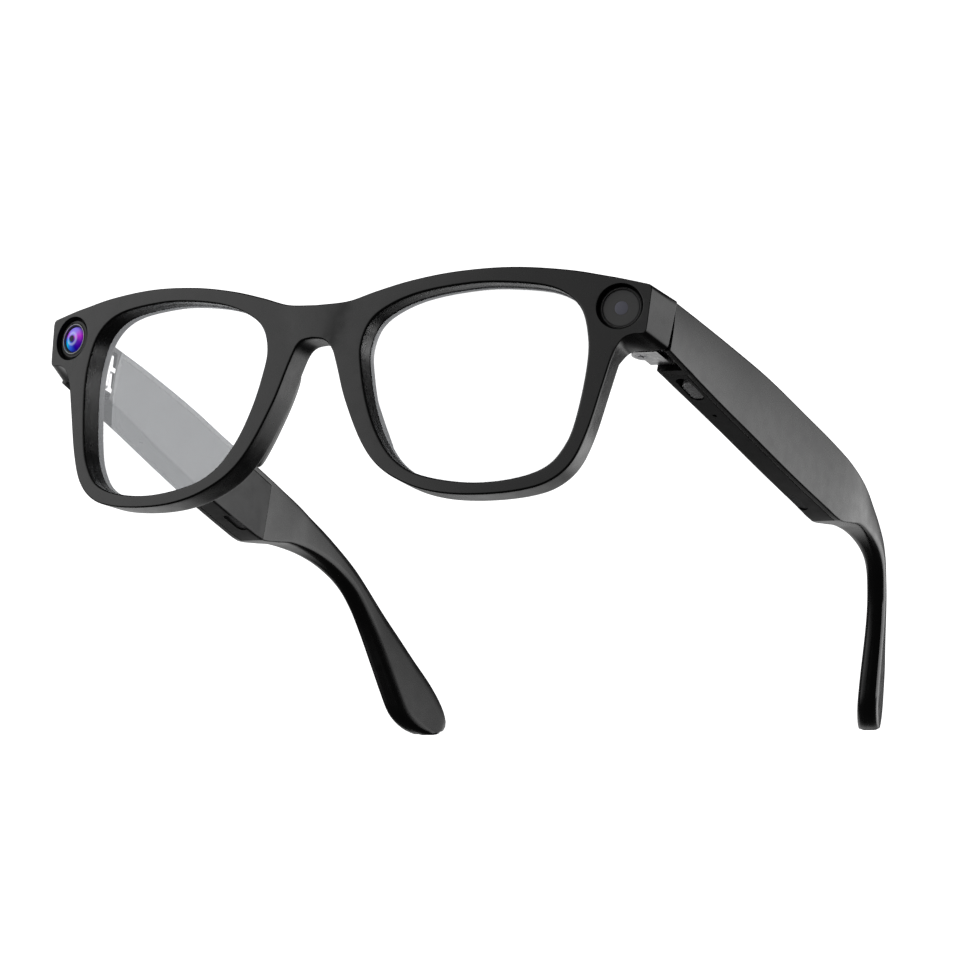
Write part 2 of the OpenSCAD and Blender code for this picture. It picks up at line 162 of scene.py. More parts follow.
def inside(point, loop):
    """True if a 2-D point lies within a closed loop."""
    x, y = point
    hit = False
    for (ax, ay), (bx, by) in zip(loop, loop[1:] + loop[:1]):
        if (ay > y) != (by > y) and x < (bx - ax) * (y - ay) / (by - ay) + ax:
            hit = not hit
    return hit


# ---- Meshes -------------------------------------------------------------------------------------

def place(point, side=1):
    """From the front's own frame in millimetres to the standing frame in metres."""
    x, y, z = STANDING @ Vector(point)
    return Vector((side * x, y, z)) * MM


def put(name, data):
    """A new object in the scene."""
    obj = bpy.data.objects.new(name, data)
    bpy.context.scene.collection.objects.link(obj)
    return obj


def weld(mesh):
    """Joins the points that coincide and turns all faces outwards."""
    tidy = bmesh.new()
    tidy.from_mesh(mesh)
    bmesh.ops.remove_doubles(tidy, verts=tidy.verts, dist=2e-6)
    bmesh.ops.dissolve_degenerate(tidy, edges=tidy.edges, dist=1e-7)
    bmesh.ops.recalc_face_normals(tidy, faces=tidy.faces)
    tidy.to_mesh(mesh)
    tidy.free()


def shade(mesh, sharp=35):
    """Smooth shading, with edges kept sharp over an angle in degrees."""
    mesh.polygons.foreach_set("use_smooth", [True] * len(mesh.polygons))
    mesh.set_sharp_from_angle(angle=radians(sharp))


class Mesh:
    """Points and faces that are welded into one object at the end."""

    def __init__(self):
        self.points, self.faces = [], []

    def add(self, points):
        """Adds points and gives their numbers."""
        first = len(self.points)
        self.points += [Vector(p) for p in points]
        return list(range(first, len(self.points)))

    def strip(self, rows, closed=False):
        """Quads between rows of equally many points."""
        ids = [self.add(row) for row in rows]
        for a, b in zip(ids, ids[1:]):
            n = len(a)
            for i in range(n if closed else n - 1):
                j = (i + 1) % n
                self.faces.append((a[i], a[j], b[j], b[i]))

    def cap(self, row):
        """A fan that closes a loop."""
        ids = self.add(row)
        middle = self.add([sum((Vector(p) for p in row), Vector()) / len(row)])[0]
        for i, j in zip(ids, ids[1:] + ids[:1]):
            self.faces.append((i, j, middle))

    def tube(self, rows):
        """A closed strip with both ends capped."""
        self.strip(rows, closed=True)
        self.cap(rows[0])
        self.cap(rows[-1])

    def welded(self, name, side, start):
        """The mesh on one side of the glasses, measured from a starting place."""
        mesh = bpy.data.meshes.new(name)
        mesh.from_pydata([place(p, side) - start for p in self.points], [], self.faces)
        weld(mesh)
        return mesh

    def finish(self, name, body, material, nodes=(), side=1, sharp=35, origin=None):
        """The finished object, which rides on a body and stands in for CAD nodes."""
        start = origin if origin else Vector()
        mesh = self.welded(name, side, start)
        shade(mesh, sharp)
        mesh.materials.append(material)
        obj = put(name, mesh)
        obj.location = start
        weighted = obj.modifiers.new("weighted_normals", "WEIGHTED_NORMAL")
        weighted.keep_sharp = True
        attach(obj, body)
        if nodes:
            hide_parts(*nodes)
        return obj


def cut(obj, shape, side):
    """Takes a closed shape out of an object, for good."""
    cutter = put("cutter", shape.welded("cutter", side, Vector()))
    carve = obj.modifiers.new("carve", "BOOLEAN")
    carve.operation = "DIFFERENCE"
    carve.solver = "EXACT"
    carve.object = cutter
    obj.modifiers.move(len(obj.modifiers) - 1, 0)
    weighted = obj.modifiers["weighted_normals"]
    weighted.show_viewport = False
    bpy.context.view_layer.update()
    done = bpy.data.meshes.new_from_object(obj.evaluated_get(bpy.context.evaluated_depsgraph_get()))
    weighted.show_viewport = True
    obj.modifiers.remove(carve)
    old, old_cutter = obj.data, cutter.data
    obj.data = done
    done.name = old.name
    bpy.data.objects.remove(cutter)
    for used in (old, old_cutter):
        bpy.data.meshes.remove(used)
    shade(done)


# ---- Materials ----------------------------------------------------------------------------------

def new_material(name):
    """A material with a Principled shader; returns it with its node helpers."""
    material = bpy.data.materials.new(name)
    material.use_nodes = True
    tree = material.node_tree
    shader = tree.nodes["Principled BSDF"]
    return material, tree, shader


def noise(tree, scale, detail=3.0, stretch=(1, 1, 1)):
    """Noise over the object's own coordinates."""
    where = tree.nodes.new("ShaderNodeTexCoord")
    spread = tree.nodes.new("ShaderNodeMapping")
    spread.inputs["Scale"].default_value = stretch
    texture = tree.nodes.new("ShaderNodeTexNoise")
    texture.inputs["Scale"].default_value = scale
    texture.inputs["Detail"].default_value = detail
    tree.links.new(where.outputs["Object"], spread.inputs["Vector"])
    tree.links.new(spread.outputs["Vector"], texture.inputs["Vector"])
    return texture.outputs["Fac"]


def spread_to(tree, source, low, high, start=0.3, end=0.7):
    """A value stretched to a range."""
    remap = tree.nodes.new("ShaderNodeMapRange")
    for socket, number in zip(("From Min", "From Max", "To Min", "To Max"), (start, end, low, high)):
        remap.inputs[socket].default_value = number
    tree.links.new(source, remap.inputs["Value"])
    return remap.outputs["Result"]


def combined(tree, operation, first, *others):
    """Several values multiplied or added into one."""
    total = first
    for value in others:
        step = tree.nodes.new("ShaderNodeMath")
        step.operation = operation
        tree.links.new(total, step.inputs[0])
        if isinstance(value, float):
            step.inputs[1].default_value = value
        else:
            tree.links.new(value, step.inputs[1])
        total = step.outputs[0]
    return total


def bumped(tree, shader, source, strength, depth):
    """Fine relief from a value, with its depth in metres."""
    bump = tree.nodes.new("ShaderNodeBump")
    bump.inputs["Strength"].default_value = strength
    bump.inputs["Distance"].default_value = depth
    tree.links.new(source, bump.inputs["Height"])
    tree.links.new(bump.outputs["Normal"], shader.inputs["Normal"])


def mixed(tree, share, first, second):
    """A colour between two, by a share."""
    mix = tree.nodes.new("ShaderNodeMix")
    mix.data_type = "RGBA"
    tree.links.new(share, mix.inputs["Factor"])
    for socket, colour in (("A", first), ("B", second)):
        target = [s for s in mix.inputs if s.name == socket and s.type == "RGBA"][0]
        if isinstance(colour, tuple):
            target.default_value = (*colour, 1)
        else:
            tree.links.new(colour, target)
    return [s for s in mix.outputs if s.type == "RGBA"][0]


def plastic(name, dark, light, rough, grain=2600, grain_strength=0.05, wear=0.02, gloss=0.5):
    """Moulded plastic: fine texture, slightly uneven gloss, and edges rubbed a little paler."""
    material, tree, shader = new_material(name)
    cloud = noise(tree, 90, 4)
    body = mixed(tree, spread_to(tree, cloud, 0, 1), dark, light)
    pointed = tree.nodes.new("ShaderNodeNewGeometry").outputs["Pointiness"]
    rubbed = spread_to(tree, pointed, 0, 0.6, 0.53, 0.6)
    worn = mixed(tree, rubbed, body, (light[0] + wear, light[1] + wear, light[2] + wear))
    tree.links.new(worn, shader.inputs["Base Color"])
    uneven = spread_to(tree, noise(tree, 350, 5), rough - 0.04, rough + 0.05)
    tree.links.new(uneven, shader.inputs["Roughness"])
    bumped(tree, shader, noise(tree, grain, 2), grain_strength, 0.00004)
    shader.inputs["Specular IOR Level"].default_value = gloss
    return material


def metal(name, colour, shade, rough, scale=1800, stretch=(1, 1, 1), strength=0.15, metallic=1.0):
    """Metal with fine marks."""
    material, tree, shader = new_material(name)
    shader.inputs["Metallic"].default_value = metallic
    marks = noise(tree, scale, 4, stretch)
    tree.links.new(mixed(tree, spread_to(tree, marks, 0, 1), colour, shade), shader.inputs["Base Color"])
    tree.links.new(spread_to(tree, marks, rough - 0.06, rough + 0.08), shader.inputs["Roughness"])
    bumped(tree, shader, marks, strength, 0.00003)
    return material


def clear_lens():
    """Clear lens with a hard coat: nearly all light passes, a little is mirrored."""
    material, tree, shader = new_material("clear_lens")
    shader.inputs["Base Color"].default_value = (0.95, 0.97, 1, 1)
    shader.inputs["Metallic"].default_value = 1
    shader.inputs["Alpha"].default_value = 0.15
    tree.links.new(spread_to(tree, noise(tree, 40, 2), 0.02, 0.05), shader.inputs["Roughness"])
    return material


# Colours of the coat round the lens axis: painted reflection colours, which the front element emits as a
# glow.
PAINTED_COAT_COLOURS = (
    (0.0, (0.0, 0.16, 0.9)), (0.1, (0.0, 0.55, 0.85)), (0.2, (0.02, 0.12, 0.8)), (0.32, (0.01, 0.0, 0.4)),
    (0.44, (0.12, 0.0, 0.5)), (0.54, (0.6, 0.03, 0.75)), (0.66, (0.32, 0.22, 0.95)),
    (0.8, (0.3, 0.25, 0.95)), (0.9, (0.4, 0.0, 0.75)), (1.0, (0.0, 0.16, 0.9)))


def painted_coat_sweep(tree, where):
    """The coat's colours round the axis, from the -X side and back to it: painted reflection colours that the
    front element also emits.
    """
    parts = tree.nodes.new("ShaderNodeSeparateXYZ")
    tree.links.new(where, parts.inputs["Vector"])
    angle = tree.nodes.new("ShaderNodeMath")
    angle.operation = "ARCTAN2"
    tree.links.new(parts.outputs["Z"], angle.inputs[0])
    tree.links.new(parts.outputs["X"], angle.inputs[1])
    around = tree.nodes.new("ShaderNodeValToRGB")
    tree.links.new(spread_to(tree, angle.outputs[0], 0, 1, -pi, pi), around.inputs["Fac"])
    stops = around.color_ramp.elements
    for stop, (at, colour) in zip((stops[0], stops[1]), (PAINTED_COAT_COLOURS[0], PAINTED_COAT_COLOURS[-1])):
        stop.position = at
        stop.color = (*colour, 1)
    for at, colour in PAINTED_COAT_COLOURS[1:-1]:
        stops.new(at).color = (*colour, 1)
    return around.outputs["Color"]


def coated_glass():
    """Lens element with an interference coat: lilac above, cyan and magenta below, dark pupil. The coat's
    colours are painted reflection that glows by emission, with a pale painted highlight ring round the pupil,
    the dark pupil painted as the shade inside the lens, and deep blue towards the edge.
    """
    material, tree, shader = new_material("coated_glass")
    where = tree.nodes.new("ShaderNodeTexCoord").outputs["Object"]
    length = tree.nodes.new("ShaderNodeVectorMath")
    length.operation = "LENGTH"
    tree.links.new(where, length.inputs[0])
    radius = length.outputs["Value"]
    # Dark pupil in the middle: painted shade standing in for the unlit inside of the lens.
    pupil = spread_to(tree, radius, 1, 0, 0.6 * MM, 0.9 * MM)
    # Pale blue ring round the pupil: painted highlight.
    painted_highlight_ring = combined(tree, "MULTIPLY", spread_to(tree, radius, 0, 0.5, 0.9 * MM, 1.2 * MM),
                    spread_to(tree, radius, 1, 0, 1.3 * MM, 1.7 * MM))
    # Darker, deep blue towards the edge of the element.
    rim = spread_to(tree, radius, 0, 0.9, 2.4 * MM, 3.1 * MM)
    colour = mixed(tree, painted_highlight_ring, painted_coat_sweep(tree, where), (0.6, 0.7, 1.0))
    colour = mixed(tree, pupil, colour, (0.002, 0.0, 0.03))
    colour = mixed(tree, rim, colour, (0.01, 0.0, 0.2))
    tree.links.new(colour, shader.inputs["Base Color"])
    # The colour is emitted as well: a painted glow, though the element is no lamp.
    tree.links.new(colour, shader.inputs["Emission Color"])
    shader.inputs["Emission Strength"].default_value = 0.45
    shader.inputs["Specular IOR Level"].default_value = 0.2
    tree.links.new(spread_to(tree, noise(tree, 600), 0.15, 0.25), shader.inputs["Roughness"])
    return material


FRAME_PLASTIC = plastic("frame_plastic", (0.004, 0.004, 0.0042), (0.006, 0.006, 0.0062), 0.25)
TEMPLE_PLASTIC = plastic("temple_plastic", (0.004, 0.004, 0.0042), (0.006, 0.006, 0.0062), 0.27)
COVER_PLASTIC = plastic("cover_plastic", (0.008, 0.008, 0.0085), (0.011, 0.011, 0.0115), 0.4, 3200, 0.2,
                        gloss=0.28)
RECESS_BLACK = plastic("recess_black", (0.004, 0.004, 0.0045), (0.008, 0.008, 0.008), 0.4)
# Grey metal for the thin ring in the camera recess. It is paler than the black bezel round it and stands in
# for the highlight along a rim's edge there: painted highlight.
RING_GREY = metal("ring_grey", (0.42, 0.42, 0.41), (0.34, 0.34, 0.33), 0.3)
INDICATOR = plastic("indicator_diffuser", (0.075, 0.075, 0.075), (0.085, 0.085, 0.085), 0.4)
INDICATOR_DOT = plastic("indicator_dot", (0.17, 0.17, 0.22), (0.2, 0.2, 0.26), 0.5)
SPEAKER_PLASTIC = plastic("speaker_plastic", (0.02, 0.02, 0.022), (0.03, 0.03, 0.03), 0.5)
BOARD = plastic("circuit_board", (0.01, 0.06, 0.03), (0.02, 0.12, 0.06), 0.4, 900, 0.3)
POLYIMIDE = plastic("flex_polyimide", (0.35, 0.12, 0.02), (0.45, 0.18, 0.04), 0.35)
STEEL = metal("hinge_steel", (0.95, 0.95, 0.95), (0.86, 0.86, 0.87), 0.3, 900, (1, 1, 14))
SCREW_STEEL = metal("screw_steel", (0.7, 0.7, 0.72), (0.55, 0.55, 0.57), 0.24)
CORE_STEEL = metal("core_steel", (0.6, 0.6, 0.62), (0.5, 0.5, 0.52), 0.35)
SWITCH_STEEL = metal("switch_steel", (0.95, 0.95, 0.95), (0.85, 0.85, 0.86), 0.3)
# The knob's steel is a near-white copy of the switch steel with little metallic, so that it looks bright by
# diffuse light where real steel shows a bright reflection: painted reflection.
KNOB_STEEL = metal("knob_steel", (0.98, 0.98, 0.98), (0.9, 0.9, 0.91), 0.3, metallic=0.3)
BATTERY_FOIL = metal("battery_foil", (0.7, 0.7, 0.73), (0.6, 0.6, 0.62), 0.4, 300)
MESH_METAL = metal("mesh_metal", (0.16, 0.16, 0.17), (0.05, 0.05, 0.05), 0.45, 2600, strength=0.8)
GOLD = metal("gold_contact", (0.9, 0.62, 0.25), (0.85, 0.55, 0.2), 0.2)
LENS = clear_lens()
COATED = coated_glass()

# ---- Front --------------------------------------------------------------------------------------

ROUND_STEPS = 4
WALL_STEPS = 6
CORNER_COUNT = 16
# Where a corner begins: in x on the brow and in z on the lower edge.
CORNER_X, CORNER_LOW = 62.4, -12.5
CORNER_EDGE = 0.2
CORNER_SIDE_X, SIDE_TOP, SIDE_LOW = 72.3, 2.95, -7.76
# The joint with the temple: heights of its ends, place of its top and lean.
SEAM_TOP, SEAM_LOW = 1.42, -9.5
SEAM_Y, SEAM_LEAN = 18.4, 0.174
TEMPLE_X, TEMPLE_TAPER, SIDE_FLARE = 74.1, 0.28, 0.9
# The creases on both sides of the bridge, as (x, z), and the swell between them.
CREASE_TOP, CREASE_LOW = (8.4, -0.3), (5.2, -9.9)
CREASE_START, CREASE_STEP, CREASE_POINTS = -1.6, 1.2, 7
SWELL, SWELL_END = 0.62, -14


def crease_x(z):
    """Where the bridge meets the rim's face, at a height."""
    part = (z - CREASE_LOW[1]) / (CREASE_TOP[1] - CREASE_LOW[1])
    return CREASE_LOW[0] + (CREASE_TOP[0] - CREASE_LOW[0]) * part


def bridge_swell(x, z):
    """How far the bridge's face swells out between its two creases."""
    if z < SWELL_END:
        return 0
    return SWELL * max(0, 1 - (x / crease_x(z)) ** 2)


def front_point(x, z, depth):
    """A place on the curved front, at a depth into the frame."""
    depth -= bridge_swell(x, z) * max(0, 1 - depth / RIM_T)
    turn = asin(x / FRONT_R)
    return Vector(((FRONT_R - depth) * sin(turn), FRONT_R - (FRONT_R - depth) * cos(turn), z))


def seam_y(z):
    """The front's end of the joint with the temple."""
    return SEAM_Y - SEAM_LEAN * (SEAM_TOP - z)


def rounding(radius):
    """Inset and depth of a rounded edge, from the face to the wall."""
    return [(radius * (1 - sin(a)), radius * (1 - cos(a)))
            for a in (pi / 2 * k / ROUND_STEPS for k in range(ROUND_STEPS + 1))]


def edge_column(at, normal, back, radius):
    """The points over one place of the outer edge: round, wall, round."""
    rows = [front_point(at[0] + normal.x * inset, at[1] + normal.y * inset, depth)
            for inset, depth in rounding(radius)]
    start = rows[-1]
    along = (back - start).normalized()
    end = back - along * radius
    rows += [start.lerp(end, k / WALL_STEPS) for k in range(1, WALL_STEPS)]
    inward = Vector((normal.x, 0, normal.y))
    for inset, depth in reversed(rounding(radius)):
        rows.append(back - along * depth + inward * inset)
    return rows


def outer_columns():
    """Outline, rear ends and edge radii round one half, from the bridge's top to its bottom."""
    brow, lower = smooth(BROW), smooth(LOWER)
    corner_start = (CORNER_X, value_at(brow, CORNER_X))
    top = resample([corner_start] + [p for p in brow if p[0] > CORNER_X], CORNER_COUNT)
    low_end = next(i for i, p in enumerate(lower) if p[1] < CORNER_LOW)
    low = resample(lower[:low_end + 1], CORNER_COUNT)
    side = [(73.1, 2.6), (73.5, 2.2), (73.65, 1.5), (73.55, -0.6), (73.45, -2.8), (73.35, -5),
            (73.25, -6.6), (73.1, -7.25), (72.7, -7.65)]
    rim_top = [p for p in brow if p[0] < CORNER_X - 0.3]
    rim_low = lower[low_end + 1:]
    line = [tuple(p) for p in rim_top + top + side + low + rim_low]

    def rear(p):
        return front_point(p[0], p[1], RIM_T)

    top_back = resample(
        [rear(top[0]), (63.6, 14.3, 3.9), (65.8, 16.7, 2.4), (66.4, 18.1, 1.6), (67.2, SEAM_Y, SEAM_TOP),
         (TEMPLE_X, SEAM_Y, SEAM_TOP)],
        CORNER_COUNT)
    low_y = seam_y(SEAM_LOW)
    low_back = resample(
        [(TEMPLE_X - TEMPLE_TAPER, low_y, SEAM_LOW), (67.6, low_y, SEAM_LOW), (66.5, 16.3, -9.75),
         (65.9, 15.4, -10.7), rear(low[-1])],
        CORNER_COUNT)
    side_back = []
    for x, z in side:
        out = min(1, (x - CORNER_SIDE_X) / SIDE_FLARE)
        down = (SIDE_TOP - z) / (SIDE_TOP - SIDE_LOW)
        height = SEAM_TOP - (SEAM_TOP - SEAM_LOW) * down
        side_back.append(Vector((TEMPLE_X + SIDE_FLARE * out - TEMPLE_TAPER * down, seam_y(height), height)))
    backs = [rear(p) for p in rim_top] + top_back + side_back + low_back + [rear(p) for p in rim_low]
    ease = [EDGE + (CORNER_EDGE - EDGE) * min(1, k / 6) for k in range(CORNER_COUNT)]
    radii = [EDGE] * len(rim_top) + ease + [CORNER_EDGE] * len(side) + ease[::-1] + [EDGE] * len(rim_low)
    return line, backs, radii, (len(rim_top), len(side))


def fill(mesh, outer, holes, depth, spacing=1.7, lines=()):
    """A curved face between an outer loop and holes, at one depth."""

    def in_face(point):
        return inside(point, loops[0]) and not any(inside(point, hole) for hole in loops[1:])

    loops = [clean([tuple(p) for p in loop]) for loop in [outer] + holes]
    points = [p for loop in loops for p in loop]
    edges = []
    first = 0
    for loop in loops:
        edges += [(first + i, first + (i + 1) % len(loop)) for i in range(len(loop))]
        first += len(loop)
    for line in lines:
        points += line
        edges += [(first + i, first + i + 1) for i in range(len(line) - 1)]
        first += len(line)
    tree = KDTree(len(points))
    for i, p in enumerate(points):
        tree.insert((p[0], p[1], 0), i)
    tree.balance()
    xs = [p[0] for p in loops[0]]
    zs = [p[1] for p in loops[0]]
    x = min(xs)
    while x < max(xs):
        z = min(zs)
        while z < max(zs):
            near = tree.find((x, z, 0))[2]
            if near > 0.6 * spacing and in_face((x, z)):
                points.append((x, z))
            z += spacing
        x += spacing
    done = delaunay_2d_cdt([Vector(p) for p in points], edges, [], 0, 1e-5)
    ids = mesh.add([front_point(p.x, p.y, depth) for p in done[0]])
    for face in done[2]:
        if in_face(sum((done[0][i] for i in face), Vector((0, 0))) / len(face)):
            mesh.faces.append(tuple(ids[i] for i in face))


def mirror_loop(loop):
    """A 2-D loop on the other side of the glasses."""
    return [(-x, z) for x, z in reversed(loop)]


def both_halves(loop):
    """A closed outline from its left half, whose ends lie on the middle plane."""
    return loop + mirror_loop(loop[1:-1])


def unroll(point):
    """Back from a place on the rear face to its outline coordinates."""
    return (FRONT_R * sin(atan2(point.x, FRONT_R - point.y)), point.z)


def on_rear(point):
    """The nearest place on the rear face."""
    return front_point(*unroll(point), RIM_T)


def flip(points):
    """Places on the other side of the glasses."""
    return [Vector((-p.x, p.y, p.z)) for p in points]


LENS_EDGE, GROOVE_STEP = 0.5, 0.22
EYE_EDGE = 0.15
EYE_POINTS = 64
OPENING_WALL = (
    rounding(LENS_EDGE)
    + [(0, 1.4), (0, LENS_FRONT - 0.3), (GROOVE_STEP, LENS_FRONT - 0.1), (GROOVE_STEP, LENS_BACK + 0.1),
       (0, LENS_BACK + 0.3), (0, 5.2)]
    + [(inset, RIM_T - depth) for inset, depth in reversed(rounding(LENS_EDGE))])
EYE_WALL = rounding(EYE_EDGE) + [(0, 1.2), (0, 2.2), (0, 3.2)]


def eye_loop(grow):
    """A recess's circle on the face."""
    turns = (2 * pi * k / EYE_POINTS for k in range(EYE_POINTS))
    return [(EYE_X + (EYE_R + grow) * cos(a), EYE_Z + (EYE_R + grow) * sin(a)) for a in turns]


def corner_end(mesh, tops, sides, lows):
    """The rear of a corner, between the upper, side and lower ends of its edge; gives its rim column."""
    full = tops[-1].z - lows[-1].z
    grid = [[top] + [top.lerp(low, (tops[-1].z - p.z) / full) for p in sides] + [low]
            for top, low in zip(tops, lows)]
    grid[0] = [on_rear(p) for p in grid[0]]
    grid.append([sides[0]] + sides + [sides[-1]])
    mesh.strip(grid)
    mesh.strip([flip(row) for row in grid])
    return grid[0]


def build_front():
    """Both rims, the bridge and the corners as one body."""
    mesh = Mesh()
    line, backs, radii, (rim_n, side_n) = outer_columns()
    corner_end_at = rim_n + 2 * CORNER_COUNT + side_n
    normals = inward_normals(both_halves(line))
    columns = [edge_column(p, n, b, r) for p, n, b, r in zip(line, normals, backs, radii)]
    for k in [*range(rim_n + 1), *range(corner_end_at - 1, len(line))]:
        columns[k][-1] = on_rear(columns[k][-1])
    for middle in (columns[0], columns[-1]):
        for p in middle:
            p.x = 0
    mesh.strip(columns)
    mesh.strip([flip(c) for c in columns])

    opening = smooth(OPENING, closed=True)
    outward = [-n for n in inward_normals(opening)]

    def opening_loop(grow):
        return moved(opening, outward, grow)

    for wall, loop_at in ((OPENING_WALL, opening_loop), (EYE_WALL, eye_loop)):
        rows = [[front_point(x, z, depth) for x, z in loop_at(inset)] for inset, depth in wall]
        for half in (rows, [flip(row) for row in rows]):
            mesh.strip(half, closed=True)
            if wall is EYE_WALL:
                mesh.cap(half[-1])

    face = [(p[0] + n.x * r, p[1] + n.y * r) for p, n, r in zip(line, normals, radii)]
    face[0], face[-1] = (0, face[0][1]), (0, face[-1][1])
    holes = [opening_loop(LENS_EDGE), eye_loop(EYE_EDGE)]
    heights = [CREASE_START - CREASE_STEP * k for k in range(CREASE_POINTS)]
    creases = [[(side * crease_x(z), z) for z in heights] for side in (-1, 1)]
    fill(mesh, both_halves(face), holes + [mirror_loop(h) for h in holes], 0, lines=creases)

    ends = [c[-1] for c in columns]
    side_at, low_at = rim_n + CORNER_COUNT, rim_n + CORNER_COUNT + side_n
    seam = corner_end(mesh, ends[rim_n:side_at], ends[side_at:low_at], ends[low_at:corner_end_at][::-1])
    rear = [unroll(p) for p in ends[:rim_n] + seam + ends[corner_end_at:]]
    rear[0], rear[-1] = (0, rear[0][1]), (0, rear[-1][1])
    holes = [opening_loop(LENS_EDGE)]
    fill(mesh, both_halves(rear), holes + [mirror_loop(h) for h in holes], RIM_T)
    mesh.finish("front_body", "front", FRAME_PLASTIC, ("front_shell", "rear_frame"))


def eye_place(side, radius, depth, angle):
    """A place round a recess's axis, with depth into the frame."""
    turn = asin(EYE_X / FRONT_R)
    along = Matrix.Translation((0, FRONT_R, 0)) @ Matrix.Rotation(turn, 4, "Z")
    p = along @ Vector((radius * cos(angle), depth - FRONT_R, EYE_Z + radius * sin(angle)))
    return Vector((side * p.x, p.y, p.z))


def turned(name, side, profile, material, nodes=(), around=72):
    """A piece turned round a recess's axis from (radius, depth) points."""
    mesh = Mesh()
    mesh.tube([[eye_place(side, r, d, 2 * pi * k / around) for k in range(around)] for r, d in profile])
    mesh.finish(name, "front", material, nodes, sharp=50,
                origin=place(eye_place(side, 0, profile[0][1], 0)))


# Depth at which the pieces of a recess begin, and the domed element in front of them.
SEAT = 3.1
DOME_R, DOME_APEX, DOME_H = 2.8, -0.05, 1.35


def build_camera():
    """Stepped bezel, a bright grey metal ring that stands in for the highlight on a rim's edge (painted
    highlight), inner ring and the domed front element.
    """
    side = -1
    bezel = [(3.38, SEAT), (3.38, 0.75), (3.5, 0.6), (3.6, 0.62), (3.75, 0.72), (3.95, 0.7), (4.1, 0.78),
             (4.2, 1.1), (4.7, 1.3), (4.7, SEAT)]
    # The thin grey ring: a painted highlight on the rim's edge.
    light = [(3.38, SEAT), (3.38, 0.62), (3.3, 0.52), (3.2, 0.52), (3.12, 0.62), (3.12, SEAT)]
    inner = [(3.13, SEAT), (3.13, 0.8), (3.0, 0.78), (2.85, 0.9), (DOME_R, 1.2), (DOME_R, SEAT)]
    dome = [(DOME_R * sin(a), DOME_APEX + DOME_H * (1 - cos(a)))
            for a in (radians(90) * k / 12 for k in range(1, 13))]
    turned("camera_bezel_ring", side, bezel, RECESS_BLACK, ("camera_bezel",))
    turned("camera_light_ring", side, light, RING_GREY)
    turned("camera_inner_ring", side, inner, RECESS_BLACK, ("camera_barrel",))
    turned("camera_front_element", side, dome + [(DOME_R, 2.6)], COATED,
           ("camera_window", "camera_lens"))


def build_indicator():
    """Bezel, rim, disc and the lamp's dot."""
    side = 1
    bezel = [(4.2, SEAT), (4.2, 1.6), (4.24, 1.5), (4.32, 1.5), (4.4, 1.66), (4.7, 1.8), (4.7, SEAT)]
    rim = [(4.2, SEAT), (4.2, 1.4), (4.12, 1.3), (4.02, 1.3), (3.94, 1.4), (3.94, SEAT)]
    disc = [(1.42, 2.6), (1.42, 1.45), (3.6, 1.45), (3.8, 1.5), (3.94, 1.62), (3.94, 2.6)]
    dot = [(0.2, 1.4), (1.1, 1.42), (1.4, 1.47), (1.41, 2.5)]
    turned("indicator_bezel_ring", side, bezel, RECESS_BLACK, ("indicator_bezel",))
    turned("indicator_rim", side, rim, INDICATOR)
    turned("indicator_disc", side, disc, INDICATOR, ("indicator_window",))
    turned("indicator_dot", side, dot, INDICATOR_DOT)


PAD_SUNK = 0.3
PAD_POINTS = 14
PAD_HALF_WIDTH, PAD_H = 1.75, 2.75


def build_nose_pad(side):
    """A low elongated dome behind the nose side of the rim."""
    middle = smooth([(7.9, -11.9), (9.1, -15), (11, -20), (13.6, -25.6), (16.2, -30.6), (17.1, -32.6)], 5)
    mesh = Mesh()
    rows = []
    for k, (x, z) in enumerate(middle):
        part = k / (len(middle) - 1)
        round_off = max(0.0, 1 - (2 * part - 1) ** 4) ** 0.5
        half_width, height = PAD_HALF_WIDTH * round_off + 0.02, PAD_H * round_off
        before, after = Vector(middle[max(k - 1, 0)]), Vector(middle[min(k + 1, len(middle) - 1)])
        run = (after - before).normalized()
        across = Vector((-run.y, run.x))
        row = []
        for j in range(PAD_POINTS + 1):
            a = pi * j / PAD_POINTS
            beside = across * half_width * cos(a)
            foot = 0 if 0 < j < PAD_POINTS else PAD_SUNK
            depth = RIM_T - foot + height * max(sin(a), 0) ** 0.85
            row.append(front_point(x + beside.x, z + beside.y, depth))
        rows.append(row)
    mesh.strip(rows)
    mesh.strip([[row[0] for row in rows], [row[-1] for row in rows]])
    mesh.cap(rows[0])
    mesh.cap(rows[-1])
    name = "left" if side > 0 else "right"
    mesh.finish(f"nose_pad_dome_{name}", "front", FRAME_PLASTIC,
                (f"nose_pad_{name}",), side)


# ---- Temples ------------------------------------------------------------------------------------

# Stretches of the temple's body along y: hinge bay, partition, bay for the parts, solid tip.
SHELL_START = (16.9, 17.0)
HINGE_START, HINGE_END, BAY_START, BAY_END = 17.2, 24.8, 26.8, 93.2
TOP_CURVE, LOW_CURVE = smooth(TEMPLE_TOP), smooth(TEMPLE_LOW)
OUTER_CURVE, INNER_CURVE = smooth(OUTER_X), smooth(INNER_X)
TIP_STATIONS = 64
TIP_ROUND, TIP_EASE = 1.6, 26
OUTER_CROWN, INNER_CROWN = 0.9, 0.5
SIDE_SPLITS = 5
END_STEPS, END_LENGTH, END_SHRINK = 5, 0.9, 1.5


def from_front(y, z):
    """Distance from the front, square to the plane in which the tips bend."""
    return y * cos(BEND_PLANE) - z * sin(BEND_PLANE)


def edge_x(curve, y, z):
    """Distance of a temple's face from the middle plane."""
    return value_at(curve, from_front(y, z), 1, 0)


def body_station(y):
    """Top and bottom of the temple's section that starts at y on its lower edge."""
    low = (y, value_at(LOW_CURVE, y))
    top_y = y + 2.2
    return (top_y, value_at(TOP_CURVE, top_y)), low


